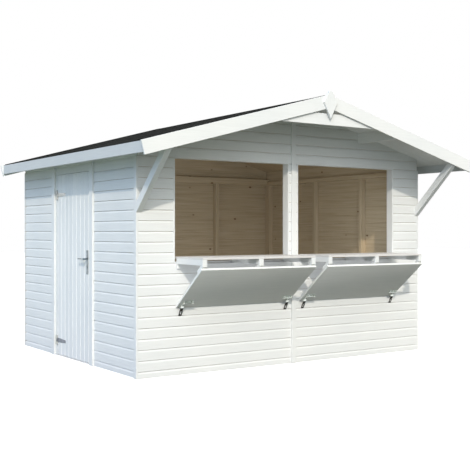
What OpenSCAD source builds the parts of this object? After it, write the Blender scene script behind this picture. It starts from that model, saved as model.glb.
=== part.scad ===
/* [Cabin] */
// Width over the cladding of the side walls
cabin_w = 3240; // [2900:10:4200]
// Depth over the cladding of the front and back walls
cabin_d = 2600; // [2200:10:3400]
// Height of the walls up to the underside of the roof beams
wall_h = 1850; // [1850:10:2400]
// Slope of the roof in degrees
roof_pitch = 15.2; // [8:0.1:30]

/* [Timber] */
// Thickness of the shiplap cladding
clad_t = 18; // [12:1:28]
// Depth of the wall frame behind the cladding
stud_d = 60; // [40:1:90]
// Width of a stud, and height of a rail
stud_w = 45; // [32:1:60]
// Thickness of the trim boards
trim_t = 20; // [12:1:25]
// Width of the corner trim on the side walls
corner_trim_w = 46; // [35:1:90]
// Width of the batten over the middle of the front wall
centre_batten_w = 46; // [35:1:90]
// Thickness of the batten over the middle of the front wall
centre_batten_t = 16; // [10:1:25]

/* [Floor] */
// Height of the floor bearers
bearer_h = 45; // [38:1:90]
// Width of a floor bearer
bearer_w = 45; // [38:1:90]
// Number of floor bearers
bearer_n = 5; // [3:2:9]
// Thickness of the floor deck
floor_t = 19; // [15:1:28]

/* [Roof] */
// Overhang of the roof past the side cladding
side_overhang = 220; // [100:5:350]
// Overhang of the canopy past the front wall
front_overhang = 510; // [300:5:700]
// Overhang of the roof past the back wall
back_overhang = 52; // [30:1:200]
// Thickness of the roof boards
deck_t = 18; // [12:1:25]
// Thickness of the roofing felt
felt_t = 3; // [2:0.5:6]
// Width of a roof beam
beam_w = 48; // [40:1:75]
// Height of the ridge beam and the middle purlins
purlin_h = 95; // [75:1:150]
// Distance of the middle purlins from the centre line
purlin_x = 830; // [600:10:1100]
// Height of a verge board, measured upright
verge_h = 121; // [90:1:180]
// Thickness of a verge board and an eaves fascia
verge_t = 18; // [12:1:25]
// Height of an eaves fascia
fascia_h = 92; // [70:1:140]
// Height of the eaves beams' outer edge
eaves_beam_h = 117; // [80:1:150]

/* [Gable] */
// Width of the kite-shaped board at the peak
finial_w = 150; // [100:5:250]
// Height of the kite-shaped board
finial_h = 242; // [160:2:320]
// Height from the tip of the kite to its widest place
finial_shoulder = 140; // [80:2:200]
// Width of the kite's flat top
finial_top_w = 40; // [10:2:80]
// Height of the kite's top above the verge boards
finial_rise = 27; // [0:1:60]
// Height of the board that ties the two verge boards
tie_h = 100; // [60:2:140]
// Depth of the tie board's top below the verge peak
tie_drop = 168; // [130:2:220]

/* [Hatches] */
// Width of a serving hatch
hatch_w = 1210; // [900:10:1300]
// Width of the mullion between the hatches
mullion_w = 120; // [100:5:240]
// Thickness of the boards that line the hatches
lining_t = 15; // [10:1:20]
// Height of the sill of the hatches
sill_z = 966; // [800:2:1100]
// Height of the counter's underside above the sill
counter_rise = 24; // [10:1:40]
// Reach of the counter in front of the wall
counter_reach = 425; // [250:5:500]
// Thickness of the counter board
counter_t = 18; // [12:1:30]
// Size of the square arms under the counter
arm_w = 45; // [30:1:60]
// Distance of the outer arms from the sides of the hatch
arm_inset = 14; // [0:1:60]
// Play between the counter and the sides of the hatch
counter_play = 16; // [1:1:30]
// Thickness of the slanted flap
flap_t = 20; // [12:1:25]
// Play between the flap's ends and the width of the hatch
flap_play = 6; // [0:1:20]
// Height of the slanted flap's lower edge
flap_foot_z = 573; // [450:1:700]
// Drop of the flap's upper edge below the arms
flap_drop = 38; // [10:1:80]
// Thickness of the blocks that hang a flap from its arms
flap_block_t = 28; // [15:1:40]
// Length of a block down the inner face of a flap
flap_block_l = 80; // [40:5:200]
// Height of the batten under the hatch
ledger_h = 40; // [30:1:60]
// Thickness of the batten under the hatch
ledger_t = 16; // [10:1:20]

/* [Studs] */
// Height of the plate on the back wall under the gable
gable_plate_h = 32; // [20:1:60]
// Distance from the front to the middle of the right wall's second stud
right_stud_1 = 780; // [400:10:1100]
// Distance from the front to the middle of the right wall's third stud
right_stud_2 = 1590; // [1200:10:1900]

/* [Door] */
// Distance from the front of the cabin to the door frame
door_from_front = 930; // [700:10:1100]
// Width of the clear way between the jambs
door_way_w = 730; // [600:10:900]
// Drop of the clear way's top below the roof beams
door_head_drop = 68; // [56:2:300]
// Height of the threshold, which the door closes against
threshold_h = 25; // [15:1:45]
// Height of the door leaf's lower edge
leaf_z = 10; // [8:1:15]
// Width of a jamb
jamb_w = 45; // [35:1:70]
// Width of the trim beside the door frame
door_trim_w = 70; // [50:1:90]
// Clearance all round the door leaf
door_gap = 5; // [5:0.5:10]
// Thickness of the door boards
leaf_t = 18; // [14:1:25]
// Thickness of the ledges behind the door boards
ledge_t = 18; // [14:1:30]
// Height of a ledge
ledge_h = 95; // [60:5:140]
// Width of the stop that the door closes against
stop_w = 15; // [10:1:25]

/* [Hardware] */
// Height of the lower hinge
hinge_low_z = 150; // [100:5:400]
// Drop of the upper hinge below the clear way's top
hinge_high_drop = 199; // [120:1:400]
// Length of a hinge strap on the door
strap_l = 190; // [120:5:350]
// Width of a hinge strap at its root
strap_h = 45; // [30:1:60]
// Height of a hinge plate on the frame
hinge_plate_h = 93; // [60:1:140]
// Thickness of the hinge metal
hinge_t = 3; // [2:0.5:4]
// Radius of the hinge pin
pin_r = 4; // [3:0.5:6]
// Height of the lever's long plate
lock_plate_h = 222; // [160:2:260]
// Width of the lever's long plate
lock_plate_w = 38; // [28:1:50]
// Height of the lever's centre
lever_z = 968; // [850:1:1100]
// Length of the lever
lever_l = 112; // [90:1:140]
// Gap between the lever and the long plate
lever_gap = 5; // [5:0.5:8]

/* [Braces] */
// Height of the brace's foot on the front wall
brace_foot_z = 1380; // [1200:5:1500]
// Width of a brace
brace_w = 50; // [35:1:60]
// Depth of a brace along its cut
brace_d = 90; // [50:1:120]

/* [Hidden] */
$fn = 48;

// Outer faces of the cladding
x_out = cabin_w / 2;
y_front = -cabin_d / 2;
y_back = cabin_d / 2;
wall_t = clad_t + stud_d;
// Upright thickness of what lies on the slope
slope = tan(roof_pitch);
deck_v = deck_t / cos(roof_pitch);
felt_v = felt_t / cos(roof_pitch);
// Height of the roof boards' underside on the centre line
deck_peak = wall_h + eaves_beam_h + slope * x_out;
function deck_under(x) = deck_peak - slope * abs(x);
function beam_top(x) = deck_under(x) - slope_play;
// Eaves and the two ends of the roof
x_eaves = x_out + side_overhang;
y_roof_front = y_front - front_overhang;
y_roof_back = y_back + back_overhang;
verge_lap = 3;
// Play between the pieces that lie on each other's slopes
slope_play = 0.05;
verge_peak = deck_peak + deck_v + felt_v + verge_lap;
board_gap = 2;
// How far a cut runs past the face that it opens
cut_over = 1;

// Hatches
hatch_x = mullion_w / 2 + hatch_w / 2;
pier_w = x_out - mullion_w / 2 - hatch_w - lining_t;
mullion_half = mullion_w / 2 - lining_t;
lining_lap = 2;
head_z = wall_h + lining_t;
counter_z = sill_z + counter_rise;
arm_z = counter_z - arm_w;

// Door, counted from the front face along the left wall
y_frame_0 = y_front + door_from_front;
y_way_0 = y_frame_0 + jamb_w;
y_way_1 = y_way_0 + door_way_w;
y_frame_1 = y_way_1 + jamb_w;
door_way_top = wall_h - door_head_drop;
door_frame_top = wall_h - stud_w;
hinge_zs = [hinge_low_z, door_way_top - hinge_high_drop];
leaf_w = door_way_w - 2 * door_gap;
leaf_h = door_way_top - door_gap - leaf_z;
leaf_y0 = y_way_0 + door_gap;
leaf_y1 = leaf_y0 + leaf_w;
x_leaf_back = -x_out + leaf_t;
// The hinge pins stand in the gap beside the leaf
pin_x = -x_out - hinge_t - pin_r;
pin_y = (leaf_y1 + y_way_1) / 2;

// A block between two corners
module block(a, b) {
    translate(a) cube(b - a);
}

// A profile in the XZ plane, drawn from y0 to y1
module across(y0, y1) {
    translate([0, y1, 0]) rotate([90, 0, 0]) linear_extrude(y1 - y0) children();
}

// A profile in the YZ plane, drawn from x0 to x1
module along(x0, x1) {
    translate([x0, 0, 0]) rotate([90, 0, 90]) linear_extrude(x1 - x0) children();
}

// Upright outline of everything under the roof boards, between x0 and x1
module under_roof(x0, x1, z0) {
    ridge = x0 < 0 && x1 > 0 ? [[0, beam_top(0)]] : [];
    polygon(concat([[x0, z0], [x1, z0], [x1, beam_top(x1)]], ridge, [[x0, beam_top(x0)]]));
}

// Outlines of the ridge beam and the purlins, cut to the slope on top
module purlin_outlines() {
    under_roof(-beam_w / 2, beam_w / 2, deck_peak - purlin_h);
    for (side = [-1, 1]) {
        inner = purlin_x - beam_w / 2;
        outer = purlin_x + beam_w / 2;
        purlin_z = deck_under(purlin_x) - purlin_h;
        under_roof(min(side * inner, side * outer), max(side * inner, side * outer), purlin_z);
    }
}

// Outlines of the two eaves beams, cut to the slope on top
module eaves_outlines() {
    for (side = [-1, 1]) {
        eaves_in = side * (x_out - beam_w);
        under_roof(min(eaves_in, side * x_out), max(eaves_in, side * x_out), wall_h);
    }
}

// A board that follows one side of the roof, from x0 to x1, z_top over the centre line
module slope_outline(side, x0, x1, z_top, h) {
    polygon([
        [side * x0, z_top - slope * x0], [side * x1, z_top - slope * x1],
        [side * x1, z_top - slope * x1 - h], [side * x0, z_top - slope * x0 - h]
    ]);
}

module floor_bearers() {
    // The bearers run along the width, inside the wall frames
    half = x_out - wall_t;
    run = cabin_d - 2 * wall_t - bearer_w;
    color("BurlyWood") for (i = [0 : bearer_n - 1]) {
        y = -run / 2 + run * i / (bearer_n - 1);
        block([-half, y - bearer_w / 2, 0], [half, y + bearer_w / 2, bearer_h]);
    }
}

module floor_deck() {
    half = x_out - wall_t;
    color("Tan") block([-half, y_front + wall_t, bearer_h], [half, y_back - wall_t, bearer_h + floor_t]);
}

module front_apron() {
    color("WhiteSmoke") block([-x_out, y_front, 0], [x_out, y_front + clad_t, sill_z]);
}

module front_piers() {
    y1 = y_front + clad_t;
    color("WhiteSmoke") {
        for (side = [-1, 1]) {
            x = side * (x_out - pier_w / 2);
            block([x - pier_w / 2, y_front, sill_z], [x + pier_w / 2, y1, wall_h]);
        }
        block([-mullion_half, y_front, sill_z], [mullion_half, y1, wall_h]);
    }
}

// Gable cladding from a height up to the roof, notched where the purlins and any children pass
module gable_clad(y0, z0) {
    across(y0, y0 + clad_t) difference() {
        under_roof(-x_out, x_out, z0);
        purlin_outlines();
        children();
    }
}

module front_gable() {
    notch_w = hatch_w + 2 * lining_t;
    color("WhiteSmoke") gable_clad(y_front, wall_h) for (side = [-1, 1]) {
        // Room for the head board of each hatch's lining
        translate([side * hatch_x - notch_w / 2, wall_h - cut_over]) square([notch_w, lining_t + cut_over]);
    }
}

module back_wall() {
    color("WhiteSmoke") gable_clad(y_back - clad_t, 0);
}

// An upright stud of the front or back wall; side is -1 in front and 1 at the back
module gable_stud(x, side, z0, z1) {
    y0 = side < 0 ? y_front + clad_t : y_back - wall_t;
    block([x - stud_w / 2, y0, z0], [x + stud_w / 2, y0 + stud_d, z1]);
}

// Studs stand between the bottom plate and the top plate
stud_z0 = stud_w;
stud_z1 = wall_h - stud_w;
corner_stud_x = x_out - clad_t - stud_w / 2;

module front_studs() {
    y0 = y_front + clad_t;
    outer = mullion_w / 2 + hatch_w + lining_t + stud_w / 2;
    color("Peru") {
        block([-mullion_half, y0, stud_z0], [mullion_half, y0 + stud_d, head_z]);
        for (side = [-1, 1]) {
            gable_stud(side * outer, -1, stud_z0, head_z);
            gable_stud(side * corner_stud_x, -1, stud_z0, wall_h);
        }
    }
}

module front_rails() {
    y0 = y_front + clad_t;
    y1 = y0 + stud_d;
    half = x_out - clad_t;
    color("Peru") {
        block([-half, y0, 0], [half, y1, stud_w]);
        // Header over the hatches, between the eaves beams
        block([-x_out + beam_w, y0, head_z], [x_out - beam_w, y1, head_z + stud_w]);
        for (side = [-1, 1]) {
            x = side * hatch_x;
            half_w = hatch_w / 2 + lining_t;
            block([x - half_w, y0, sill_z - stud_w], [x + half_w, y1, sill_z]);
        }
    }
}

module back_studs() {
    color("Peru") for (x = [-corner_stud_x, -corner_stud_x / 2, 0, corner_stud_x / 2, corner_stud_x]) {
        gable_stud(x, 1, stud_z0, stud_z1);
    }
}

module back_rails() {
    y0 = y_back - wall_t;
    y1 = y0 + stud_d;
    half = x_out - clad_t;
    color("Peru") {
        for (z = [0, stud_z1]) block([-half, y0, z], [half, y1, z + stud_w]);
        // Plate under the gable, between the eaves beams
        block([-x_out + beam_w, y0, wall_h], [x_out - beam_w, y1, wall_h + gable_plate_h]);
    }
}

// Cladding of a side wall, between two places along it and two heights
module side_clad(side, y0, y1, z0, z1) {
    x0 = side < 0 ? -x_out : x_out - clad_t;
    block([x0, y0, z0], [x0 + clad_t, y1, z1]);
}

// Frame timber of a side wall
module side_timber(side, y0, y1, z0, z1) {
    x0 = side < 0 ? -x_out + clad_t : x_out - wall_t;
    block([x0, y0, z0], [x0 + stud_d, y1, z1]);
}

side_y0 = y_front + clad_t;
side_y1 = y_back - clad_t;
frame_y0 = y_front + wall_t;
frame_y1 = y_back - wall_t;

module right_wall() {
    color("WhiteSmoke") side_clad(1, side_y0, side_y1, 0, wall_h);
}

module right_studs() {
    mid_1 = y_front + right_stud_1 - stud_w / 2;
    mid_2 = y_front + right_stud_2 - stud_w / 2;
    color("Peru") for (y = [frame_y0, mid_1, mid_2, frame_y1 - stud_w]) {
        side_timber(1, y, y + stud_w, stud_z0, stud_z1);
    }
}

module right_rails() {
    color("Peru") for (z = [0, stud_z1]) side_timber(1, frame_y0, frame_y1, z, z + stud_w);
}

module left_wall_front() {
    color("WhiteSmoke") side_clad(-1, side_y0, y_frame_0, 0, wall_h);
}

module left_wall_back() {
    color("WhiteSmoke") side_clad(-1, y_frame_1, side_y1, 0, wall_h);
}

module left_wall_over_door() {
    color("WhiteSmoke") side_clad(-1, y_frame_0, y_frame_1, door_frame_top, wall_h);
}

module left_studs() {
    color("Peru") for (y = [frame_y0, y_frame_0 - stud_w, y_frame_1, frame_y1 - stud_w]) {
        side_timber(-1, y, y + stud_w, stud_z0, stud_z1);
    }
}

module left_rails() {
    color("Peru") {
        side_timber(-1, frame_y0, y_frame_0, 0, stud_w);
        side_timber(-1, y_frame_1, frame_y1, 0, stud_w);
        side_timber(-1, frame_y0, frame_y1, stud_z1, wall_h);
    }
}

module corner_trims() {
    color("White") for (side = [-1, 1]) {
        x0 = min(side * x_out, side * (x_out + trim_t));
        block([x0, y_front, 0], [x0 + trim_t, y_front + corner_trim_w, wall_h]);
        // At the back the board lies on the back wall, and only its edge shows from the side
        x1 = min(side * x_out, side * (x_out - corner_trim_w));
        block([x1, y_back, 0], [x1 + corner_trim_w, y_back + trim_t, wall_h]);
    }
}

module centre_batten() {
    top = deck_peak - purlin_h;
    color("White") block(
        [-centre_batten_w / 2, y_front - centre_batten_t, 0],
        [centre_batten_w / 2, y_front, top]
    );
}

module door_trims() {
    x0 = -x_out - trim_t;
    color("White") for (y = [y_frame_0 - door_trim_w, y_frame_1]) {
        block([x0, y, 0], [-x_out, y + door_trim_w, wall_h]);
    }
}

module door_frame() {
    x_stop = x_leaf_back + door_gap;
    x_in = -x_out + wall_t;
    color("White") difference() {
        block([-x_out, y_frame_0, 0], [x_in, y_frame_1, door_frame_top]);
        // The way that the leaf fills, open to the outside and down to the ground
        block([-x_out - cut_over, y_way_0, -cut_over], [x_stop, y_way_1, door_way_top]);
        // The narrower way between the stops
        block(
            [-x_out, y_way_0 + stop_w, threshold_h],
            [x_in + cut_over, y_way_1 - stop_w, door_way_top - stop_w]
        );
    }
}

module door_leaf() {
    color("WhiteSmoke") block([-x_out, leaf_y0, leaf_z], [x_leaf_back, leaf_y1, leaf_z + leaf_h]);
}

module door_ledges() {
    inset = stop_w + 2 * door_gap;
    ledge_zs = concat(hinge_zs, leaf_z + leaf_h / 2);
    color("WhiteSmoke") for (z = ledge_zs) block(
        [x_leaf_back, leaf_y0 + inset, z - ledge_h / 2],
        [x_leaf_back + ledge_t, leaf_y1 - inset, z + ledge_h / 2]
    );
}

// The hinge barrel is split: the frame's plate holds the two outer thirds
barrel_r = pin_r + hinge_t;
pin_play = 0.05;
knuckle_gap = 0.5;
knuckle_room = 1;
plate_margin = 2;
// Width of a strap's tip against its root
strap_taper = 0.6;

module hinge_plate(z) {
    third = hinge_plate_h / 3;
    y0 = y_way_1 + plate_margin / 2;
    y1 = y_frame_1 - plate_margin;
    difference() {
        union() {
            block([-x_out - hinge_t, y0, z - hinge_plate_h / 2], [-x_out, y1, z + hinge_plate_h / 2]);
            for (zk = [z - hinge_plate_h / 2, z + third / 2]) {
                translate([pin_x, pin_y, zk]) cylinder(h = third, r = barrel_r);
                block([pin_x, pin_y, zk], [-x_out, pin_y + barrel_r, zk + third]);
            }
        }
        // Room for the strap's knuckle
        translate([pin_x, pin_y, z - third / 2]) cylinder(h = third, r = barrel_r + knuckle_room);
    }
    translate([pin_x, pin_y, z - hinge_plate_h / 2]) cylinder(h = hinge_plate_h, r = pin_r);
}

module hinge_plates() {
    color("Silver") for (z = hinge_zs) hinge_plate(z);
}

module hinge_straps() {
    third = hinge_plate_h / 3 - 2 * knuckle_gap;
    tip_h = strap_h * strap_taper;
    color("Silver") for (z = hinge_zs) difference() {
        union() {
            translate([pin_x, pin_y, z - third / 2]) cylinder(h = third, r = barrel_r);
            block([pin_x, leaf_y1 - door_gap, z - third / 2], [-x_out, pin_y, z + third / 2]);
            along(-x_out - hinge_t, -x_out) polygon([
                [leaf_y1 - door_gap, z - strap_h / 2], [leaf_y1 - door_gap, z + strap_h / 2],
                [leaf_y1 - strap_l, z + tip_h / 2], [leaf_y1 - strap_l, z - tip_h / 2]
            ]);
        }
        translate([pin_x, pin_y, z - third]) cylinder(h = 2 * third, r = pin_r + pin_play);
    }
}

// The lock plate stands near the leaf's front edge
lock_margin = 4;
lock_y = leaf_y0 + lock_plate_w / 2 + lock_margin;
lock_plate_t = 4;
// The plate's middle is below the lever, and the lock cylinder below that
lock_plate_drop = 30;
cylinder_drop = 72;
cylinder_out = 6;
lever_r = 9;
spindle_r = 8;
spindle_out = 30;

module lock_plate() {
    z_mid = lever_z - lock_plate_drop;
    x0 = -x_out - lock_plate_t;
    color("Silver") difference() {
        union() {
            block(
                [x0, lock_y - lock_plate_w / 2, z_mid - lock_plate_h / 2],
                [-x_out, lock_y + lock_plate_w / 2, z_mid + lock_plate_h / 2]
            );
            // Lock cylinder
            translate([x0 - cylinder_out, lock_y, lever_z - cylinder_drop]) rotate([0, 90, 0])
                cylinder(h = cylinder_out, r = lever_r);
        }
        translate([x0 - cut_over, lock_y, lever_z]) rotate([0, 90, 0])
            cylinder(h = lock_plate_t + 2 * cut_over, r = spindle_r);
    }
}

module door_lever() {
    x_bar = -x_out - lock_plate_t - spindle_out;
    color("Silver") {
        translate([x_bar, lock_y, lever_z]) rotate([0, 90, 0])
            cylinder(h = spindle_out + lock_plate_t, r = spindle_r - pin_play);
        translate([x_bar - lever_r, lock_y, lever_z]) rotate([-90, 0, 0]) cylinder(h = lever_l, r = lever_r);
        translate([x_bar - 2 * lever_r, lock_y, lever_z]) rotate([0, 90, 0])
            cylinder(h = 2 * lever_r, r = lever_r);
    }
}

module roof_beams() {
    color("Wheat") {
        across(y_roof_front, y_roof_back) purlin_outlines();
        // The eaves beams stop behind the gable cladding
        across(side_y0, side_y1) eaves_outlines();
    }
}

module canopy_braces() {
    // Each brace runs from the front wall to the back of the verge board, close under the roof boards
    top = deck_under(x_out + trim_t) - slope_play;
    color("White") for (side = [-1, 1]) {
        // The outer face is in line with the corner trim's
        x0 = side * (x_out + trim_t - brace_w / 2) - brace_w / 2;
        along(x0, x0 + brace_w) polygon([
            [y_front, brace_foot_z], [y_front, brace_foot_z + brace_d],
            [y_roof_front, top], [y_roof_front, top - brace_d]
        ]);
    }
}

module roof_side(side) {
    across(y_roof_front, y_roof_back) slope_outline(side, 0, x_eaves - verge_t, deck_peak + deck_v, deck_v);
}

module roof_deck_left() {
    color("Peru") roof_side(-1);
}

module roof_deck_right() {
    color("Peru") roof_side(1);
}

module felt_side(side) {
    top = deck_peak + deck_v + felt_v;
    color("DimGray") across(y_roof_front, y_roof_back)
        slope_outline(side, 0, x_eaves, top, felt_v - slope_play);
}

module felt_left() {
    felt_side(-1);
}

module felt_right() {
    felt_side(1);
}

module eaves_fascias() {
    top = deck_peak + deck_v - slope_play;
    color("White") across(y_roof_front, y_roof_back) for (side = [-1, 1]) {
        x0 = x_eaves - verge_t;
        polygon([
            [side * x0, top - slope * x0], [side * x_eaves, top - slope * x_eaves],
            [side * x_eaves, top - slope * x_eaves - fascia_h], [side * x0, top - slope * x_eaves - fascia_h]
        ]);
    }
}

module verge_pair(y0) {
    // The outer ends are cut square to the slope, with the lower corner in line with the fascia
    cut_x = verge_h * sin(roof_pitch) * cos(roof_pitch);
    x0 = board_gap / 2;
    x1 = x_eaves + cut_x;
    z1 = verge_peak - slope * x1;
    across(y0, y0 + verge_t) for (side = [-1, 1]) polygon([
        [side * x0, verge_peak - slope * x0], [side * x1, z1],
        [side * x_eaves, verge_peak - slope * x_eaves - verge_h],
        [side * x0, verge_peak - slope * x0 - verge_h]
    ]);
}

module verge_boards_front() {
    color("White") verge_pair(y_roof_front - verge_t);
}

module verge_boards_back() {
    color("White") verge_pair(y_roof_back);
}

module gable_tie() {
    z1 = verge_peak - tie_drop;
    half = purlin_x - beam_w / 2 - board_gap;
    color("White") across(y_roof_front, y_roof_front + verge_t) intersection() {
        under_roof(-half, half, z1 - tie_h);
        translate([-half, z1 - tie_h]) square([2 * half, tie_h]);
    }
}

module finial() {
    top = verge_peak + finial_rise;
    y1 = y_roof_front - verge_t;
    tip = top - finial_h;
    color("White") across(y1 - verge_t, y1) polygon([
        [0, tip], [finial_w / 2, tip + finial_shoulder], [finial_top_w / 2, top],
        [-finial_top_w / 2, top], [-finial_w / 2, tip + finial_shoulder]
    ]);
}

module hatch_linings() {
    y1 = y_front + wall_t;
    color("White") for (side = [-1, 1]) {
        x = side * hatch_x;
        half = hatch_w / 2;
        block([x - half - lining_t, y_front - lining_lap, wall_h], [x + half + lining_t, y1, head_z]);
        for (x0 = [x - half - lining_t, x + half]) {
            block([x0, y_front - lining_lap, sill_z], [x0 + lining_t, y1, wall_h]);
        }
    }
}

module hatch_ledgers() {
    half = hatch_w / 2 - arm_inset;
    color("White") for (side = [-1, 1]) {
        x = side * hatch_x;
        block([x - half, y_front - ledger_t, arm_z - ledger_h], [x + half, y_front, arm_z]);
    }
}

module counter(side) {
    x = side * hatch_x;
    half = hatch_w / 2 - counter_play;
    color("White") block(
        [x - half, y_front - counter_reach, counter_z],
        [x + half, y_front + wall_t, counter_z + counter_t]
    );
}

module counter_left() {
    counter(-1);
}

module counter_right() {
    counter(1);
}

// Places of the three arms of a hatch, counted from its left edge to the arm's left side
arm_offsets = [arm_inset, (hatch_w - arm_w) / 2, hatch_w - arm_inset - arm_w];

module counter_arms() {
    color("White") for (side = [-1, 1], offset = arm_offsets) {
        x = side * hatch_x - hatch_w / 2 + offset;
        block([x, y_front - counter_reach, arm_z], [x + arm_w, y_front, counter_z]);
    }
}

// The flap leans from under the arms' outer ends back to the wall
flap_rise = arm_z - flap_drop - flap_foot_z;
flap_lean = atan2(counter_reach, flap_rise);
flap_angle = atan2(counter_reach - flap_t * cos(flap_lean), flap_rise);
flap_l = flap_rise / cos(flap_angle);
flap_foot_y = y_front - flap_t * cos(flap_angle);

// Places a child on a flap: X along the hatch, Y inwards from its outer face, Z up its slope
module on_flap(side) {
    translate([side * hatch_x, flap_foot_y, flap_foot_z]) rotate([flap_angle, 0, 0]) children();
}

module flap(side) {
    half = hatch_w / 2 - flap_play;
    color("Gainsboro") on_flap(side) block([-half, 0, 0], [half, flap_t, flap_l]);
}

module flap_left() {
    flap(-1);
}

module flap_right() {
    flap(1);
}

// Side view of a flap block, cut off level under the arm and upright in line with its end
module flap_block_outline() {
    intersection() {
        translate([flap_foot_y, flap_foot_z]) rotate(flap_angle)
            translate([flap_t, flap_l - flap_block_l]) square([flap_block_t, counter_reach]);
        translate([y_front - counter_reach, flap_foot_z]) square([counter_reach, arm_z - flap_foot_z]);
    }
}

module flap_blocks() {
    color("White") for (side = [-1, 1], offset = arm_offsets) {
        x0 = side * hatch_x - hatch_w / 2 + offset;
        along(x0, x0 + arm_w) flap_block_outline();
    }
}

// Latches near the lower corners of a flap: a bolt in two guides on a plate, a strap that runs down from
// the plate, and a slotted hasp that hangs from the strap's barrel and leans with its foot on the wall
latch_t = 3;
latch_plate = [100, 36];
latch_plate_z = 62;
latch_guide = [14, 15, 16];
latch_bolt_r = 5;
latch_bolt_over = 6;
// The bolt runs clear of its plate, held by the guides alone
latch_bolt_gap = 1;
latch_strap_w = 22;
latch_barrel_z = 40;
latch_barrel_r = 5;
hasp = [30, 100];
hasp_slot = [13, 32];
// Distances from the hatch's left side: middle of the plate, middle of the hasp
latch_spots = [[86, 48], [hatch_w - 64, hatch_w - 38]];
// Middle of the barrel, out from the wall and above the ground
barrel_out = -latch_t - latch_barrel_r;
barrel_y = flap_foot_y + barrel_out * cos(flap_angle) - latch_barrel_z * sin(flap_angle);
barrel_z = flap_foot_z + barrel_out * sin(flap_angle) + latch_barrel_z * cos(flap_angle);
hasp_lean = asin((y_front - barrel_y - latch_t) / hasp[1]);

module latch_plate_part(x, x_hasp) {
    half = latch_plate[0] / 2;
    z1 = latch_plate_z + latch_plate[1];
    z_bolt = latch_plate_z + latch_plate[1] / 2;
    block([x - half, -latch_t, latch_plate_z], [x + half, 0, z1]);
    for (x0 = [x - half, x + half - latch_guide[0]]) block(
        [x0, -latch_guide[1], z_bolt - latch_guide[2] / 2],
        [x0 + latch_guide[0], 0, z_bolt + latch_guide[2] / 2]
    );
    bolt_out = -latch_t - latch_bolt_gap - latch_bolt_r;
    translate([x - half - latch_bolt_over, bolt_out, z_bolt]) rotate([0, 90, 0])
        cylinder(h = latch_plate[0] + 2 * latch_bolt_over, r = latch_bolt_r);
    block([x_hasp - latch_strap_w / 2, -latch_t, 0], [x_hasp + latch_strap_w / 2, 0, z1]);
    // Barrel, and the leaf that holds it to the strap
    translate([x_hasp - hasp[0] / 2, barrel_out, latch_barrel_z]) rotate([0, 90, 0])
        cylinder(h = hasp[0], r = latch_barrel_r);
    block(
        [x_hasp - hasp[0] / 2, barrel_out, latch_barrel_z - latch_t],
        [x_hasp + hasp[0] / 2, 0, latch_barrel_z + latch_t]
    );
}

module hasp_part() {
    difference() {
        block([-hasp[0] / 2, 0, -hasp[1]], [hasp[0] / 2, latch_t, 0]);
        block(
            [-hasp_slot[0] / 2, -cut_over, hasp_slot[0] - hasp[1]],
            [hasp_slot[0] / 2, latch_t + cut_over, hasp_slot[0] + hasp_slot[1] - hasp[1]]
        );
    }
}

module hatch_latches() {
    color("DarkGray") for (side = [-1, 1], spot = latch_spots) {
        x = spot[0] - hatch_w / 2;
        x_hasp = spot[1] - hatch_w / 2;
        on_flap(side) latch_plate_part(x, x_hasp);
        translate([side * hatch_x + x_hasp, barrel_y, barrel_z]) rotate([hasp_lean, 0, 0]) hasp_part();
    }
}

floor_bearers();
floor_deck();
front_apron();
front_piers();
front_gable();
front_studs();
front_rails();
back_wall();
back_studs();
back_rails();
right_wall();
right_studs();
right_rails();
left_wall_front();
left_wall_back();
left_wall_over_door();
left_studs();
left_rails();
corner_trims();
centre_batten();
door_trims();
door_frame();
door_leaf();
door_ledges();
hinge_plates();
hinge_straps();
lock_plate();
door_lever();
roof_beams();
canopy_braces();
roof_deck_left();
roof_deck_right();
felt_left();
felt_right();
eaves_fascias();
verge_boards_front();
verge_boards_back();
gable_tie();
finial();
hatch_linings();
hatch_ledgers();
counter_left();
counter_right();
counter_arms();
flap_left();
flap_right();
flap_blocks();
hatch_latches();
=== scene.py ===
import math

import bmesh
import bpy
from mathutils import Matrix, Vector

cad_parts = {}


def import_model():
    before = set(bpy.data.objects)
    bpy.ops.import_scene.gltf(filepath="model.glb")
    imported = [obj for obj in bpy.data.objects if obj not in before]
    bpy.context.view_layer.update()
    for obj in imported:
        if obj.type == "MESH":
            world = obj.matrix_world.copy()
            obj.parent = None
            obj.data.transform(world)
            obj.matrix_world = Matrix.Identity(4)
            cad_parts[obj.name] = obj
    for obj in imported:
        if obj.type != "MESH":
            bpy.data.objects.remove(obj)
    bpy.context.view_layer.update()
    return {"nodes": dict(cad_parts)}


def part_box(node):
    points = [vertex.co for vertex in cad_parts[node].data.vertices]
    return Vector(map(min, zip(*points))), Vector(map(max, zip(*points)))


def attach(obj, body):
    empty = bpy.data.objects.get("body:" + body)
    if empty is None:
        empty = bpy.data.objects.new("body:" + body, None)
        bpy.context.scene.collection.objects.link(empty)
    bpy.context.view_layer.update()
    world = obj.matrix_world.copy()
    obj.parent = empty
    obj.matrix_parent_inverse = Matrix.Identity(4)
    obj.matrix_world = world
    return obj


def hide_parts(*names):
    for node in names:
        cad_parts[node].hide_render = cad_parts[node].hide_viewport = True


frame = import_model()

# A white garden shed: shiplap walls, a felted gable roof, a side door and two serving hatches in front

# ---------------------------------------------------------------- sizes, in metres
# Shiplap: the height that each board shows, the height of the lowest joint, and the thickness
COVER = 0.090
FIRST_JOINT = 0.055
CLAD = 0.018
# The inner part of that thickness, which is left bare and shows inside the cabin
CLAD_BACK = 0.006
# The slope along each board's upper edge, and the dark gap between it and the board above
BEVEL_H = 0.016
BEVEL_D = 0.005
SHADOW_GAP = 0.0028
# Boards of the roof and the floor: the width that each one shows, and the roof boards' thickness
ROOF_COVER = 0.096
FLOOR_COVER = 0.118
ROOF_BOARD = 0.018
# Thickness of the door's boards
LEAF = 0.018
# Matched boards stand this far apart, so that each one stays a solid of its own
HAIR_GAP = 0.0001
# Planed edges of the timbers, and broken edges of the metal
ARRIS = 0.0018
METAL_EDGE = 0.0008
# Slope of the roof
ROOF_PITCH = math.radians(15.2)
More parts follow.
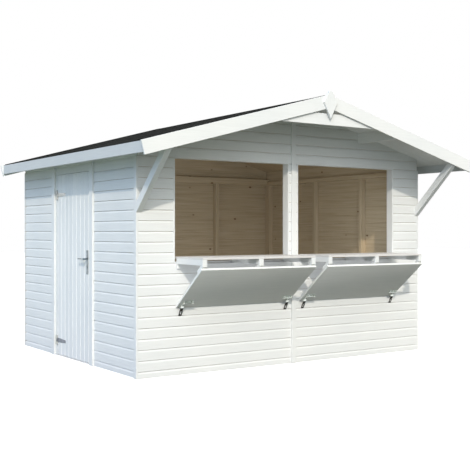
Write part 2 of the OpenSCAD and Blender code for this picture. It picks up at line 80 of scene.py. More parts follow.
# The side walls' outer faces stand at plus and minus OUT_X, the front wall's at FRONT_Y
apron_low, apron_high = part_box("front_apron")
OUT_X = apron_high.x
FRONT_Y = apron_low.y
# The way that the sunlight travels
SUN_RAY = Vector((0.441, 0.716, -0.542)).normalized()

# ---------------------------------------------------------------- colours and nodes
# Two ways to mix colours
BLEND = {"data_type": "RGBA", "blend_type": "MIX"}
MULTIPLY = {"data_type": "RGBA", "blend_type": "MULTIPLY"}


def hex_colour(text):
    """An sRGB hex colour as linear RGBA."""
    parts = [int(text[i:i + 2], 16) / 255 for i in (0, 2, 4)]
    return [c / 12.92 if c <= 0.04045 else ((c + 0.055) / 1.055) ** 2.4 for c in parts] + [1.0]


def add_node(tree, kind, settings=None, stops=(), **links):
    """Adds a node with its attributes, its colour stops, and its inputs, set by name or by number."""
    node = tree.nodes.new(kind)
    for name, value in (settings or {}).items():
        setattr(node, name, value)
    points = node.color_ramp.elements if stops else ()
    while len(points) < len(stops):
        points.new(0.5)
    for point, (place, colour) in zip(points, stops):
        point.position = place
        point.color = hex_colour(colour)
    for name, value in links.items():
        key = int(name[1:]) if name[0] == "i" and name[1:].isdigit() else name.replace("_", " ")
        socket = node.inputs[key]
        if isinstance(value, bpy.types.NodeSocket):
            tree.links.new(value, socket)
        else:
            socket.default_value = value
    return node


def new_material(name):
    """An empty material and its node tree."""
    material = bpy.data.materials.new(name)
    material.use_nodes = True
    material.node_tree.nodes.clear()
    return material, material.node_tree


def along_grain(tree, along, across_scale, along_scale):
    """Object coordinates drawn out along the grain and shifted for each board, and the board's value."""
    # The patterns of two boards lie up to this far apart, so that no two look alike
    apart = (3.1, 2.3, 1.7)
    place = add_node(tree, "ShaderNodeTexCoord").outputs["Object"]
    board = add_node(tree, "ShaderNodeAttribute", {"attribute_name": "board"}).outputs["Fac"]
    shift = add_node(tree, "ShaderNodeVectorMath", {"operation": "SCALE"}, i0=apart, Scale=board)
    moved = add_node(tree, "ShaderNodeVectorMath", {"operation": "ADD"}, i0=place, i1=shift.outputs[0])
    scale = [across_scale] * 3
    scale["XYZ".index(along)] = along_scale
    return add_node(tree, "ShaderNodeMapping", Vector=moved.outputs[0], Scale=scale).outputs[0], board


def seen_straight(tree):
    """1 where the eye looks at a surface straight, in a reflection or through glass, and 0 elsewhere."""
    path = add_node(tree, "ShaderNodeLightPath").outputs
    reflected = add_node(
        tree, "ShaderNodeMath", {"operation": "MAXIMUM"},
        i0=path["Is Camera Ray"], i1=path["Is Glossy Ray"],
    )
    through_glass = add_node(
        tree, "ShaderNodeMath", {"operation": "MAXIMUM"},
        i0=reflected.outputs[0], i1=path["Is Transmission Ray"],
    )
    return through_glass.outputs[0]


# ---------------------------------------------------------------- materials
def white_paint(along, name="White paint on planed spruce", dark="E9EAE9", light="EEEEEC", gloss=0.3):
    """Opaque white paint on planed softwood: satin, with the faint grain telegraphing through."""
    material, tree = new_material(name + ", grain along " + along)
    # Streaks 8 mm wide and 250 mm long, with fine grain in them down to a quarter of a millimetre
    grain, board = along_grain(tree, along, 130.0, 4.0)
    streaks = add_node(
        tree, "ShaderNodeTexNoise", Vector=grain, Scale=1.0, Detail=5.0, Roughness=0.6
    ).outputs["Fac"]
    worn = add_node(tree, "ShaderNodeValToRGB", stops=((0.34, "FAFAFA"), (0.6, "FFFFFF")), Fac=streaks)
    # Clouds 400 mm across, from uneven coats
    place = add_node(tree, "ShaderNodeTexCoord").outputs["Object"]
    cloud = add_node(tree, "ShaderNodeTexNoise", Vector=place, Scale=2.6, Detail=3.0).outputs["Fac"]
    tone = add_node(tree, "ShaderNodeValToRGB", stops=((0.3, dark), (0.7, light)), Fac=cloud)
    per_board = add_node(tree, "ShaderNodeValToRGB", stops=((0.0, "F7F8F8"), (1.0, "FFFFFE")), Fac=board)
    tinted = add_node(tree, "ShaderNodeMix", MULTIPLY, i0=1.0, i6=tone.outputs[0], i7=per_board.outputs[0])
    colour = add_node(tree, "ShaderNodeMix", MULTIPLY, i0=1.0, i6=tinted.outputs[2], i7=worn.outputs[0])
    bump = add_node(tree, "ShaderNodeBump", Strength=0.12, Distance=0.0005, Height=streaks)
    shader = add_node(
        tree, "ShaderNodeBsdfPrincipled", Base_Color=colour.outputs[2], Roughness=0.6, IOR=1.45,
        Specular_IOR_Level=gloss, Normal=bump.outputs[0],
    )
    add_node(tree, "ShaderNodeOutputMaterial", Surface=shader.outputs[0])
    return material


def bare_spruce(along):
    """Bare planed spruce: pale greyish honey, quiet late-wood lines and scattered brown knots."""
    material, tree = new_material("Bare planed spruce, grain along " + along)
    # Bands 14 mm wide and half a metre long, with late-wood lines in them down to 1 mm
    grain, board = along_grain(tree, along, 70.0, 1.8)
    rings = add_node(
        tree, "ShaderNodeTexNoise", Vector=grain, Scale=1.0, Detail=4.0, Roughness=0.55, Distortion=0.5
    ).outputs["Fac"]
    wood = add_node(
        tree, "ShaderNodeValToRGB", stops=((0.3, "B7AB93"), (0.5, "C4B9A2"), (0.7, "CDC3AE")), Fac=rings
    )
    per_board = add_node(
        tree, "ShaderNodeValToRGB", stops=((0.0, "EADFD2"), (0.5, "FBF8F2"), (1.0, "F1E8DA")), Fac=board
    )
    tinted = add_node(tree, "ShaderNodeMix", MULTIPLY, i0=1.0, i6=wood.outputs[0], i7=per_board.outputs[0])
    # Knots up to 20 mm wide, about four on each square metre
    knot_place, _ = along_grain(tree, along, 6.8, 4.1)
    knots = add_node(tree, "ShaderNodeTexVoronoi", Vector=knot_place, Scale=1.0, Randomness=1.0)
    knot_mask = add_node(
        tree, "ShaderNodeValToRGB",
        stops=((0.05, "FFFFFF"), (0.095, "000000")), Fac=knots.outputs["Distance"],
    )
    colour = add_node(
        tree, "ShaderNodeMix", BLEND,
        i0=knot_mask.outputs[0], i6=tinted.outputs[2], i7=hex_colour("6E5238"),
    )
    bump = add_node(tree, "ShaderNodeBump", Strength=0.2, Distance=0.0005, Height=rings)
    shader = add_node(
        tree, "ShaderNodeBsdfPrincipled",
        Base_Color=colour.outputs[2], Roughness=0.66, IOR=1.45, Normal=bump.outputs[0],
    )
    add_node(tree, "ShaderNodeOutputMaterial", Surface=shader.outputs[0])
    return material


def roofing_felt():
    """Mineral-surfaced bitumen felt: black, matt and gritty, a little greyer in patches."""
    material, tree = new_material("Mineral roofing felt")
    place = add_node(tree, "ShaderNodeTexCoord").outputs["Object"]
    # Slate grains of 1 to 2 mm, and patches 300 mm across
    grit = add_node(
        tree, "ShaderNodeTexNoise", Vector=place, Scale=420.0, Detail=2.0, Roughness=0.7
    ).outputs["Fac"]
    patches = add_node(tree, "ShaderNodeTexNoise", Vector=place, Scale=3.0, Detail=4.0).outputs["Fac"]
    grains = add_node(tree, "ShaderNodeValToRGB", stops=((0.38, "0B0D0C"), (0.62, "1A1D1B")), Fac=grit)
    shade = add_node(tree, "ShaderNodeValToRGB", stops=((0.3, "D8D8D8"), (0.7, "FFFFFF")), Fac=patches)
    colour = add_node(tree, "ShaderNodeMix", MULTIPLY, i0=1.0, i6=grains.outputs[0], i7=shade.outputs[0])
    bump = add_node(tree, "ShaderNodeBump", Strength=0.5, Distance=0.0012, Height=grit)
    shader = add_node(
        tree, "ShaderNodeBsdfPrincipled", Base_Color=colour.outputs[2], Roughness=0.95, IOR=1.5,
        Specular_IOR_Level=0.05, Normal=bump.outputs[0],
    )
    add_node(tree, "ShaderNodeOutputMaterial", Surface=shader.outputs[0])
    return material


def plated_steel(name, light, dark, roughness):
    """Plated steel: a soft metal gloss with faint blotches 20 mm across, the lighter ones more matt."""
    material, tree = new_material(name)
    place = add_node(tree, "ShaderNodeTexCoord").outputs["Object"]
    blotches = add_node(
        tree, "ShaderNodeTexNoise", Vector=place, Scale=55.0, Detail=4.0, Roughness=0.65
    ).outputs["Fac"]
    colour = add_node(tree, "ShaderNodeValToRGB", stops=((0.35, dark), (0.65, light)), Fac=blotches)
    gloss = add_node(
        tree, "ShaderNodeMapRange", Value=blotches, To_Min=roughness - 0.06, To_Max=roughness + 0.08
    )
    shader = add_node(
        tree, "ShaderNodeBsdfPrincipled",
        Base_Color=colour.outputs[0], Metallic=1.0, Roughness=gloss.outputs[0],
    )
    add_node(tree, "ShaderNodeOutputMaterial", Surface=shader.outputs[0])
    return material


PAINT = {axis: white_paint(axis) for axis in "XYZ"}
# The eaves boards get a greyer paint than the walls: painted shade, standing in for the dimmer light that
# falls on them
EAVES_PAINT_PAINTED_SHADE = white_paint("Y", "Weathered white paint on spruce", "CACDCE", "D0D2D2")
# The flaps' outer faces hang out of the weather and have gone matt, so they show no sheen from below
FLAP_PAINT = white_paint("X", "Matt white paint on the flaps", "E9EAE7", "EEEEEA", 0.1)
# The counters' paint is a little darker and warmer than the walls'
COUNTER_PAINT = white_paint("X", "Worn white paint on the counters", "DCD8D5", "E0DDDA")
SPRUCE = {axis: bare_spruce(axis) for axis in "XYZ"}
FELT = roofing_felt()
ZINC = plated_steel("Bright zinc plated steel", "C4C8C8", "9DA2A2", 0.46)
LOCK_STEEL = plated_steel("Satin steel of the lock", "8F999E", "737D82", 0.32)
# A darker zinc for the lower hinge strap: a painted dark reflection
LOWER_STRAP_STEEL_PAINTED_REFLECTION = plated_steel("Dulled zinc on the hinge straps", "868B93", "6F747C", 0.5)
LATCH_ZINC = plated_steel("Polished zinc of the latches", "E2E6E2", "B8BEB9", 0.25)
LEVER_STEEL = plated_steel("Polished steel of the lever", "B8C2C7", "8C969C", 0.3)
DARK_STEEL = plated_steel("Passivated dark steel", "3C3B37", "252422", 0.55)


# ---------------------------------------------------------------- making pieces
def make_object(name, mesh, finish):
    """Puts a mesh in the scene as a piece, in its finish."""
    piece = bpy.data.objects.new(name, mesh)
    bpy.context.scene.collection.objects.link(piece)
    mesh.materials.clear()
    mesh.materials.append(finish)
    return piece


def mesh_of(bm):
    """The mesh of closed shapes, with every face pointing outwards."""
    bmesh.ops.recalc_face_normals(bm, faces=bm.faces)
    mesh = bpy.data.meshes.new("mesh")
    bm.to_mesh(mesh)
    bm.free()
    return mesh


def add_prism(bm, outline, origin, across, up, run):
    """Adds a closed prism: outline points (a, b) lie at origin + a*across + b*up, and it runs along run."""
    origin, across, up, run = Vector(origin), Vector(across), Vector(up), Vector(run)
    near = [bm.verts.new(origin + a * across + b * up) for a, b in outline]
    far = [bm.verts.new(v.co + run) for v in near]
    bm.faces.new(near)
    bm.faces.new(far[::-1])
    for i in range(len(near)):
        j = (i + 1) % len(near)
        bm.faces.new((near[i], far[i], far[j], near[j]))


def prism_object(name, outline, origin, across, up, run, finish):
    """One prism as a piece of its own."""
    bm = bmesh.new()
    add_prism(bm, outline, origin, across, up, run)
    return make_object(name, mesh_of(bm), finish)


def row_tree():
    """Geometry Nodes: copies of a piece in a row, each with its own value called board."""
    tree = bpy.data.node_groups.new("Row of like pieces", "GeometryNodeTree")
    sockets = tree.interface
    sockets.new_socket("Geometry", in_out="INPUT", socket_type="NodeSocketGeometry")
    sockets.new_socket("Copies", in_out="INPUT", socket_type="NodeSocketInt")
    sockets.new_socket("Step", in_out="INPUT", socket_type="NodeSocketVector")
    sockets.new_socket("Seed", in_out="INPUT", socket_type="NodeSocketInt")
    sockets.new_socket("Finish", in_out="INPUT", socket_type="NodeSocketMaterial")
    sockets.new_socket("Geometry", in_out="OUTPUT", socket_type="NodeSocketGeometry")
    given = add_node(tree, "NodeGroupInput").outputs
    row = add_node(
        tree, "GeometryNodeMeshLine", {"mode": "OFFSET"}, Count=given["Copies"], Offset=given["Step"]
    )
    placed = add_node(
        tree, "GeometryNodeInstanceOnPoints", Points=row.outputs[0], Instance=given["Geometry"]
    )
    chance = add_node(tree, "FunctionNodeRandomValue", {"data_type": "FLOAT"}, Seed=given["Seed"])
    marked = add_node(
        tree, "GeometryNodeStoreNamedAttribute", {"data_type": "FLOAT", "domain": "INSTANCE"},
        Geometry=placed.outputs[0], Name="board", Value=chance.outputs[1],
    )
    real = add_node(tree, "GeometryNodeRealizeInstances", Geometry=marked.outputs[0])
    done = add_node(tree, "GeometryNodeSetMaterial", Geometry=real.outputs[0], Material=given["Finish"])
    add_node(tree, "NodeGroupOutput", i0=done.outputs[0])
    return tree


ROW = row_tree()


def bake_modifiers(piece):
    """Turns what the modifiers give into the piece's own plain mesh."""
    graph = bpy.context.evaluated_depsgraph_get()
    mesh = bpy.data.meshes.new_from_object(piece.evaluated_get(graph))
    piece.modifiers.clear()
    piece.data = mesh
    return piece


def repeat(piece, copies, step, seed):
    """Copies a piece into a row with the tree above, and leaves a plain mesh."""
    row = piece.modifiers.new("row", "NODES")
    row.node_group = ROW
    sizes = {"Copies": copies, "Step": Vector(step), "Seed": seed, "Finish": piece.data.materials[0]}
    for item in ROW.interface.items_tree:
        if item.in_out == "INPUT" and item.name in sizes:
            row[item.identifier] = sizes[item.name]
    return bake_modifiers(piece)


def cut_with(cutter, piece, way):
    """Cuts a piece: INTERSECT keeps what lies inside the cutter, DIFFERENCE what lies outside it."""
    cut = piece.modifiers.new("cut", "BOOLEAN")
    cut.operation = way
    cut.solver = "EXACT"
    cut.object = cutter
    return bake_modifiers(piece)


def soften(piece, arris, segments=2):
    """Planes the sharp edges off a piece."""
    bevel = piece.modifiers.new("arris", "BEVEL")
    bevel.width = arris
    bevel.segments = segments
    bevel.limit_method = "ANGLE"
    bevel.angle_limit = math.radians(25)
    return bake_modifiers(piece)


def cad_copy(node):
    """A merged copy of a CAD node's mesh."""
    bm = bmesh.new()
    bm.from_mesh(frame["nodes"][node].data)
    bmesh.ops.remove_doubles(bm, verts=bm.verts, dist=1e-5)
    return bm


def join_flats(bm):
    """Joins the triangles of each flat face into one, so that only real edges are left."""
    bmesh.ops.dissolve_limit(bm, angle_limit=math.radians(1), verts=bm.verts, edges=bm.edges)


def softened_node(node, name, finish, arris, segments=2):
    """A CAD node's own shape with its edges softened."""
    bm = cad_copy(node)
    join_flats(bm)
    return soften(make_object(name, mesh_of(bm), finish), arris, segments)


def settle(piece, body, slot, *nodes):
    """Gives a finished piece its body, and hides the CAD nodes that it stands for. The slot is not used."""
    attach(piece, body)
    if nodes:
        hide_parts(*nodes)


def trim_to(piece, node, normal):
    """Cuts a field of boards to the outline of a CAD node, which is thickened along normal first."""
    # How much farther the cutter reaches on each face, so that it never meets the boards' own faces
    slack = 0.006
    bm = cad_copy(node)
    normal = Vector(normal).normalized()
    middle = sum((v.co.dot(normal) for v in bm.verts), 0.0) / len(bm.verts)
    for v in bm.verts:
        v.co += normal * (slack if v.co.dot(normal) > middle else -slack)
    cutter = make_object("cutter", mesh_of(bm), piece.data.materials[0])
    cut_with(cutter, piece, "INTERSECT")
    bpy.data.objects.remove(cutter)
    return piece


def split_by_box(piece, box, name, finish):
    """Takes what lies in a box out of a piece, and returns it as a piece of its own."""
    low, high = box
    outline = [(low.y, low.z), (high.y, low.z), (high.y, high.z), (low.y, high.z)]
    width = (high.x - low.x, 0, 0)
    cutter = prism_object("cutter", outline, (low.x, 0, 0), (0, 1, 0), (0, 0, 1), width, finish)
    inside = make_object(name, piece.data.copy(), finish)
    cut_with(cutter, piece, "DIFFERENCE")
    cut_with(cutter, inside, "INTERSECT")
    bpy.data.objects.remove(cutter)
    return inside


def room_under_roof(skin):
    """The upper part of the room, out to within skin of the walls' outer faces: a low and a high corner."""
    below_eaves = 1.0
    above_ridge = 3.0
    low = Vector((-OUT_X + skin, FRONT_Y + skin, below_eaves))
    high = Vector((OUT_X - skin, -FRONT_Y - skin, above_ridge))
    return low, high


# ---------------------------------------------------------------- boarded walls
def shiplap_face():
    """Section of the outer part of a board: (out from the wall's inner face, up from its lower edge)."""
    top = COVER - SHADOW_GAP
    drip = 0.001
    return [
        (CLAD_BACK, 0.0), (CLAD - drip, 0.0), (CLAD, drip), (CLAD, top - BEVEL_H),
        (CLAD - BEVEL_D, top), (CLAD_BACK, top),
    ]


def matched_board(cover, depth, vee=0.002):
    """Section of a matched board, with half of a V-joint at each edge: (depth from its face, across it)."""
    top = cover - HAIR_GAP
    return [(0.0, vee), (vee, 0.0), (depth, 0.0), (depth, top), (vee, top), (0.0, top - vee)]


def clad(node, outward, seed, grain):
    """Shiplap boards on a wall slab: painted outside, bare inside."""
    low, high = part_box(node)
    out = Vector(outward)
    along = Vector((abs(out.y), abs(out.x), 0.0))
    inner = low if out.x + out.y > 0 else high
    margin = 0.05
    run = along * ((high - low).dot(along) + 2 * margin)
    # Whole boards, from the last joint under the slab's foot to the first one over its top
    first = math.floor((low.z - FIRST_JOINT) / COVER)
    rows = math.ceil((high.z - FIRST_JOINT) / COVER) - first
    foot = FIRST_JOINT + first * COVER
    start = Vector((low.x, inner.y, foot) if along.x else (inner.x, low.y, foot)) - along * margin
    up = (0, 0, 1)
    step = (0, 0, COVER)
    face = prism_object(node + "_boards", shiplap_face(), start, out, up, run, PAINT[grain])
    trim_to(repeat(face, rows, step, seed), node, out)
    settle(face, "cabin", "white_paint", node)
    back_section = matched_board(COVER, CLAD_BACK)
    back = prism_object(node + "_board_backs", back_section, start, out, up, run, SPRUCE[grain])
    trim_to(repeat(back, rows, step, seed), node, out)
    settle(back, "cabin", "raw_timber")


def clad_walls():
    """The four walls, each slab with its own seed."""
    for i, node in enumerate(("front_apron", "front_piers", "front_gable")):
        clad(node, (0, -1, 0), seed=11 + i, grain="X")
    clad("back_wall", (0, 1, 0), seed=21, grain="X")
    clad("right_wall", (1, 0, 0), seed=31, grain="Y")
    for i, node in enumerate(("left_wall_front", "left_wall_back", "left_wall_over_door")):
        clad(node, (-1, 0, 0), seed=41 + i, grain="Y")


# ---------------------------------------------------------------- roof and floor
def board_field(name, node, section, origin, across, up, run, cover, seed, finish):
    """Boards side by side that together fill a CAD slab."""
    low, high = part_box(node)
    across = Vector(across)
    copies = math.ceil(abs((high - low).dot(across)) / cover)
    field = prism_object(name, section, origin, across, up, run, finish)
    repeat(field, copies, across * cover, seed)
    return trim_to(field, node, up)


def roof_boards():
    """Matched boards down each slope: painted where they overhang the walls, bare inside."""
    margin = 0.1
    # The V-joints look down into the cabin
    section = [(across, depth) for depth, across in matched_board(ROOF_COVER, ROOF_BOARD, vee=0.0025)]
    for side, hand in ((-1, "left"), (1, "right")):
        node = "roof_deck_" + hand
        low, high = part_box(node)
        down = Vector((side * math.cos(ROOF_PITCH), 0, -math.sin(ROOF_PITCH)))
        normal = Vector((side * math.sin(ROOF_PITCH), 0, math.cos(ROOF_PITCH)))
        origin = Vector((0, low.y, high.z)) - normal * ROOF_BOARD - down * margin
        run = down * ((high.x - low.x) / math.cos(ROOF_PITCH) + 2 * margin)
        outside = board_field(
            "roof_boards_" + hand, node, section, origin, (0, 1, 0), normal, run,
            ROOF_COVER, seed=61 + side, finish=PAINT["X"],
        )
        inside = split_by_box(outside, room_under_roof(0.01), "roof_boards_inside_" + hand, SPRUCE["X"])
        settle(outside, "cabin", "white_paint", node)
        settle(inside, "cabin", "raw_timber")


def floor_boards():
    """Matched boards from the front to the back, with their V-joints on top."""
    low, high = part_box("floor_deck")
    thick = high.z - low.z
    margin = 0.05
    section = [(across, thick - depth) for depth, across in matched_board(FLOOR_COVER, thick, vee=0.001)]
    origin = low - Vector((0, margin, 0))
    run = (0, high.y - low.y + 2 * margin, 0)
    boards = board_field(
        "floor_boards", "floor_deck", section, origin, (1, 0, 0), (0, 0, 1), run,
        FLOOR_COVER, seed=71, finish=SPRUCE["Y"],
    )
    settle(boards, "cabin", "raw_timber", "floor_deck")


def felt_sheets():
    """Felt in three strips down each slope, the upper lapped over the lower, with folds and a ridge cap."""
    felt = 0.0031
    lap = 0.08
    top_share = 0.34
    # Each strip's face is a part of a sheet lower than the one above it, and dips again under the lap
    sheet = 0.0016
    step_down = 0.4 * sheet
    dip = 0.35 * sheet
    # Doubled strips along the verges and the cap over the ridge: how far in, how wide and how thick
    inset = 0.045
    fold_w = 0.06
    fold_t = 0.005
    cap_w = 0.15
    cap_t = 0.003
    slope = math.tan(ROOF_PITCH)
    for side, node in ((-1, "felt_left"), (1, "felt_right")):
        low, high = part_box(node)
        peak = high.z
        eaves = max(abs(low.x), abs(high.x))
        # Strip edges are counted from the ridge, across the slope
        top_edge = top_share * eaves
        edges = [0.0, top_edge, (top_edge + eaves) / 2, eaves]
        bm = bmesh.new()
        for i in range(3):
            inner = max(edges[i] - lap, 0.0)
            outer = edges[i + 1]
            inner_foot = peak - slope * inner - felt
            outer_foot = peak - slope * outer - felt
            rise = felt - step_down * i
            outline = [
                (side * inner, inner_foot), (side * outer, outer_foot),
                (side * outer, outer_foot + rise), (side * inner, inner_foot + rise - (dip if i else 0.0)),
            ]
            add_prism(bm, outline, (0, low.y, 0), (1, 0, 0), (0, 0, 1), (0, high.y - low.y, 0))
        front_fold = (low.y + inset, fold_w, eaves, fold_t)
        back_fold = (high.y - inset - fold_w, fold_w, eaves, fold_t)
        cap = (low.y + inset, high.y - low.y - 2 * inset, cap_w, cap_t)
        for y, wide, reach, thick in (front_fold, back_fold, cap):
            foot = peak - slope * reach
            outline = [(0.0, peak), (side * reach, foot), (side * reach, foot + thick), (0.0, peak + thick)]
            add_prism(bm, outline, (0, y, 0), (1, 0, 0), (0, 0, 1), (0, wide, 0))
        sheets = make_object(node + "_sheets", mesh_of(bm), FELT)
        settle(sheets, "cabin", "roofing_felt", node)


# ---------------------------------------------------------------- timbers
def timber(node, finish, slot, body="cabin", arris=ARRIS):
    """A CAD timber with planed edges, in place of its sharp-edged node."""
    settle(softened_node(node, node + "_timber", finish, arris), body, slot, node)


def frame_timbers():
    """Studs, rails and bearers, left bare."""
    for node in ("front_studs", "back_studs", "right_studs", "left_studs"):
        timber(node, SPRUCE["Z"], "raw_timber")
    for node in ("front_rails", "back_rails", "floor_bearers"):
        timber(node, SPRUCE["X"], "raw_timber")
    for node in ("right_rails", "left_rails"):
        timber(node, SPRUCE["Y"], "raw_timber")


def painted_timbers():
    """Trims, linings, roof edges and all the parts of the hatches."""
    for node in ("corner_trims", "centre_batten", "door_trims", "door_frame", "canopy_braces", "finial"):
        timber(node, PAINT["Z"], "white_paint")
    for node in ("verge_boards_front", "verge_boards_back", "gable_tie", "hatch_ledgers"):
        timber(node, PAINT["X"], "white_paint")
    for node in ("flap_left", "flap_right"):
        timber(node, FLAP_PAINT, "white_paint")
    for node in ("counter_left", "counter_right"):
        timber(node, COUNTER_PAINT, "white_paint")
    timber("hatch_linings", PAINT["Z"], "white_paint")
    for node in ("counter_arms", "flap_blocks"):
        timber(node, PAINT["Y"], "white_paint")
    # The fascias take the greyer paint, which is painted shade
    timber("eaves_fascias", EAVES_PAINT_PAINTED_SHADE, "white_paint")


def roof_beams():
    """The beams are painted wherever they show outside, and bare inside the cabin."""
    painted = softened_node("roof_beams", "roof_beams_outside", PAINT["Y"], ARRIS)
    bare = split_by_box(painted, room_under_roof(0.004), "roof_beams_inside", SPRUCE["Y"])
    settle(painted, "cabin", "white_paint", "roof_beams")
    settle(bare, "cabin", "raw_timber")


def nails():
    """Painted heads of the nails that hold each board to the studs behind it."""
    radius = 0.0026
    proud = 0.0006
    rows = 20
    above_joint = 0.025
    # Places of the studs along each wall, from its middle
    corner = 1.5795
    pier = 1.3075
    end = 1.1995
    right_front = -0.52
    right_back = 0.29
    walls = (
        ("front", (0, -1, 0), (-corner, -pier, pier, corner)),
        ("back", (0, 1, 0), (-corner / 2, 0.0, corner / 2)),
        ("left", (-1, 0, 0), (-end, end)),
        ("right", (1, 0, 0), (-end, right_front, right_back, end)),
    )
    turns = [math.radians(45 * i) for i in range(8)]
    outline = [(radius * math.cos(t), radius * math.sin(t)) for t in turns]
    for i, (name, outward, places) in enumerate(walls):
        out = Vector(outward)
        along = Vector((abs(out.y), abs(out.x), 0))
        wall = out * (OUT_X if out.x else -FRONT_Y)
        bm = bmesh.new()
        for place in places:
            origin = wall + along * place + Vector((0, 0, FIRST_JOINT + above_joint))
            add_prism(bm, outline, origin, along, (0, 0, 1), out * proud)
        heads = make_object("nail_heads_" + name, mesh_of(bm), PAINT["Z"])
        repeat(heads, rows, (0, 0, COVER), seed=91 + i)
        settle(heads, "cabin", "white_paint")


# ---------------------------------------------------------------- door and hardware
def door_boards():
    """Upright matched boards with a V-joint between each pair, on three ledges."""
    low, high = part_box("door_leaf")
    count = 8
    width = (high.y - low.y) / count
    vee = 0.006
    edge = width - 2 * HAIR_GAP
    section = [(vee, 0.0), (0.0, vee), (0.0, LEAF), (edge, LEAF), (edge, vee), (width - vee, 0.0)]
    height = (0, 0, high.z - low.z)
    boards = prism_object("door_boards", section, low, (0, 1, 0), (1, 0, 0), height, PAINT["Z"])
    repeat(boards, count, (0, width, 0), seed=81)
    settle(boards, "door", "white_paint", "door_leaf")
    timber("door_ledges", PAINT["Y"], "white_paint", body="door", arris=0.004)


def metal(node, finish, body):
    """Sheet or turned metal from the CAD node, with its edges broken."""
    settle(softened_node(node, node + "_metal", finish, METAL_EDGE, 1), body, "zinc_steel", node)


def hinge_straps():
    """Two straps on the door: the lower one's darker colour is a painted dark reflection, the upper one is
    plain bright zinc.
    """
    low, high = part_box("hinge_straps")
    margin = 0.1
    halfway = Vector((low.x - margin, low.y - margin, (low.z + high.z) / 2))
    beyond = high + Vector((margin, margin, margin))
    # The lower strap's darker colour is a painted reflection
    darkened_strap = softened_node("hinge_straps", "lower_hinge_strap", LOWER_STRAP_STEEL_PAINTED_REFLECTION, METAL_EDGE, 1)
    bright = split_by_box(darkened_strap, (halfway, beyond), "upper_hinge_strap", ZINC)
    settle(darkened_strap, "door", "zinc_steel", "hinge_straps")
    settle(bright, "door", "zinc_steel")


def latches():
    """Bright plates, bolts and straps, with a dark slotted hasp that hangs below each."""
    arris = 0.0006
    # The hasps begin just under the flaps
    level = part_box("flap_left")[0].z - 0.002
    halves = []
    for name, finish, above in (("latch_plates", LATCH_ZINC, True), ("latch_hasps", DARK_STEEL, False)):
        bm = cad_copy("hatch_latches")
        everything = bm.verts[:] + bm.edges[:] + bm.faces[:]
        bmesh.ops.bisect_plane(
            bm, geom=everything, plane_co=(0, 0, level), plane_no=(0, 0, 1),
            clear_inner=above, clear_outer=not above,
        )
        bmesh.ops.holes_fill(bm, edges=[edge for edge in bm.edges if edge.is_boundary], sides=0)
        join_flats(bm)
        halves.append(soften(make_object(name, mesh_of(bm), finish), arris, 1))
    plates, hasps = halves
    settle(plates, "cabin", "zinc_steel", "hatch_latches")
    settle(hasps, "cabin", "zinc_steel")


def hardware():
    """All the metal, in the order from the hinges to the latches."""
    metal("hinge_plates", ZINC, "cabin")
    hinge_straps()
    metal("lock_plate", LOCK_STEEL, "door")
    metal("door_lever", LEVER_STEEL, "lever")
    latches()


# ---------------------------------------------------------------- stage, light and camera
def stage():
    """A plain pale floor that keeps the cabin's shadow."""
    half = 40.0
    below_bearers = -0.002
    bm = bmesh.new()
    corners = ((-half, -half), (half, -half), (half, half), (-half, half))
    bm.faces.new([bm.verts.new((x, y, below_bearers)) for x, y in corners])
    material, tree = new_material("Pale studio floor")
    matt = add_node(tree, "ShaderNodeBsdfDiffuse", Color=hex_colour("E6E6E4"))
    glow = add_node(tree, "ShaderNodeEmission", Color=hex_colour("FFFFFF"), Strength=0.42)
    pale = add_node(tree, "ShaderNodeAddShader", i0=matt.outputs[0], i1=glow.outputs[0])
    # Darker grey where it lights the cabin, a little greener and lighter along the door side
    place = add_node(tree, "ShaderNodeTexCoord").outputs["Object"]
    across = add_node(tree, "ShaderNodeSeparateXYZ", Vector=place).outputs["X"]
    front = add_node(tree, "ShaderNodeMapRange", Value=across, From_Min=-3.6, From_Max=-1.7)
    ground = add_node(
        tree, "ShaderNodeMix", BLEND,
        i0=front.outputs[0], i6=hex_colour("74806F"), i7=hex_colour("484B43"),
    )
    bounce = add_node(tree, "ShaderNodeBsdfDiffuse", Color=ground.outputs[2])
    look = add_node(
        tree, "ShaderNodeMixShader", i0=seen_straight(tree), i1=bounce.outputs[0], i2=pale.outputs[0]
    )
    add_node(tree, "ShaderNodeOutputMaterial", Surface=look.outputs[0])
    floor = make_object("studio_floor", mesh_of(bm), material)


def open_sky(tree, facing):
    """A soft cool sky: bluer towards the cabin's left, and brighter above than at the horizon."""
    parts = add_node(tree, "ShaderNodeSeparateXYZ", Vector=facing).outputs
    side = add_node(tree, "ShaderNodeMapRange", Value=parts["X"], From_Min=-0.9, From_Max=0.2).outputs[0]
    tint = add_node(tree, "ShaderNodeMix", BLEND, i0=side, i6=hex_colour("A2C9FF"), i7=hex_colour("E9EAE3"))
    # The brightness overhead makes the canopy shade the gable under it
    lift = add_node(
        tree, "ShaderNodeMapRange",
        Value=parts["Z"], From_Min=0.05, From_Max=0.5, To_Min=0.54, To_Max=1.05,
    )
    gain = add_node(tree, "ShaderNodeMapRange", Value=side, To_Min=1.27, To_Max=1.0)
    power = add_node(
        tree, "ShaderNodeMath", {"operation": "MULTIPLY"}, i0=lift.outputs[0], i1=gain.outputs[0]
    )
    return add_node(tree, "ShaderNodeBackground", Color=tint.outputs[2], Strength=power.outputs[0])


def sun_haze(tree, facing):
    """A wide glow around the sun, as on a hazy day: it lightens the shade beside each shadow's edge."""
    narrowness = 6.0
    brightness = 2.3
    towards = add_node(tree, "ShaderNodeVectorMath", {"operation": "DOT_PRODUCT"}, i0=facing, i1=-SUN_RAY)
    near_sun = add_node(
        tree, "ShaderNodeMath", {"operation": "MAXIMUM"}, i0=towards.outputs["Value"], i1=0.0
    )
    glow = add_node(tree, "ShaderNodeMath", {"operation": "POWER"}, i0=near_sun.outputs[0], i1=narrowness)
    power = add_node(tree, "ShaderNodeMath", {"operation": "MULTIPLY"}, i0=glow.outputs[0], i1=brightness)
    return add_node(tree, "ShaderNodeBackground", Color=hex_colour("FCFCF8"), Strength=power.outputs[0])


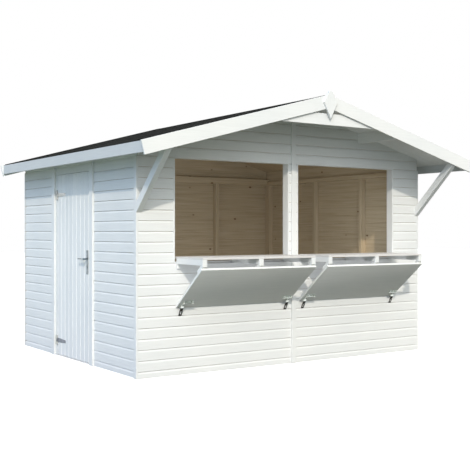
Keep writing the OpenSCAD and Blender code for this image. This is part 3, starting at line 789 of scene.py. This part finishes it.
def world():
    """White to the eye, and a hazy sky to the cabin."""
    scene = bpy.context.scene
    scene.world = bpy.data.worlds.new("Studio")
    scene.world.use_nodes = True
    tree = scene.world.node_tree
    tree.nodes.clear()
    facing = add_node(tree, "ShaderNodeTexCoord").outputs["Generated"]
    sky = add_node(
        tree, "ShaderNodeAddShader",
        i0=open_sky(tree, facing).outputs[0], i1=sun_haze(tree, facing).outputs[0],
    )
    white = add_node(tree, "ShaderNodeBackground", Color=hex_colour("FFFFFF"), Strength=1.0)
    look = add_node(
        tree, "ShaderNodeMixShader", i0=seen_straight(tree), i1=sky.outputs[0], i2=white.outputs[0]
    )
    add_node(tree, "ShaderNodeOutputWorld", Surface=look.outputs[0])


def set_up(name, data, place, towards):
    """Puts a lamp or a camera in its place, turned towards a direction."""
    thing = bpy.data.objects.new(name, data)
    thing.location = place
    thing.rotation_euler = Vector(towards).to_track_quat("-Z", "Y").to_euler()
    bpy.context.scene.collection.objects.link(thing)
    return thing


def sunlight():
    """One soft sun from the front left."""
    lamp = bpy.data.lights.new("sun", "SUN")
    lamp.energy = 1.88
    lamp.angle = math.radians(1.2)
    lamp.color = hex_colour("FFF5E6")[:3]
    set_up("sun", lamp, (0, 0, 0), SUN_RAY)


def soft_lamp(name, place, towards, size, power, colour):
    """A rectangular studio lamp that lights but is never seen."""
    lamp = bpy.data.lights.new(name, "AREA")
    lamp.shape = "RECTANGLE"
    lamp.size, lamp.size_y = size
    lamp.energy = power
    lamp.color = hex_colour(colour)[:3]
    set_up(name, lamp, place, towards).visible_camera = False


def inner_fill():
    """Soft light from the hatches and from the door side, so that the bare boards can be read."""
    soft_lamp(
        "inner_fill", place=(0.0, FRONT_Y + 0.12, 1.25), towards=(0.0, 1.0, -0.12),
        size=(2.6, 0.7), power=13.5, colour="E7F4FF",
    )
    soft_lamp(
        "door_side_fill", place=(-1.35, 0.5, 1.2), towards=(1.0, 0.3, 0.0),
        size=(1.2, 0.8), power=5.5, colour="E7F4FF",
    )


def cavity_fill():
    """A very weak light behind each flap, where sunlit counters throw light back on the wall."""
    off_wall = 0.26
    below_top = 0.02
    for node in ("flap_left", "flap_right"):
        low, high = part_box(node)
        soft_lamp(
            "cavity_fill", place=((low.x + high.x) / 2, FRONT_Y - off_wall, high.z - below_top),
            towards=(0.0, 1.0, 0.1), size=(1.1, 0.1), power=0.45, colour="F6F8FF",
        )


def camera():
    """At eye height, level, looking past the near front corner from its left."""
    lens = bpy.data.cameras.new("camera")
    lens.lens = 66.7
    lens.sensor_width = 36.0
    lens.shift_y = -0.008
    eye = set_up("camera", lens, (-4.993, -7.728, 1.225), (0.5596, 0.8287, 0.0))
    bpy.context.scene.camera = eye


clad_walls()
roof_boards()
floor_boards()
felt_sheets()
frame_timbers()
painted_timbers()
roof_beams()
nails()
door_boards()
hardware()
stage()
world()
sunlight()
inner_fill()
cavity_fill()
camera()
bpy.context.scene.view_settings.view_transform = "Standard"
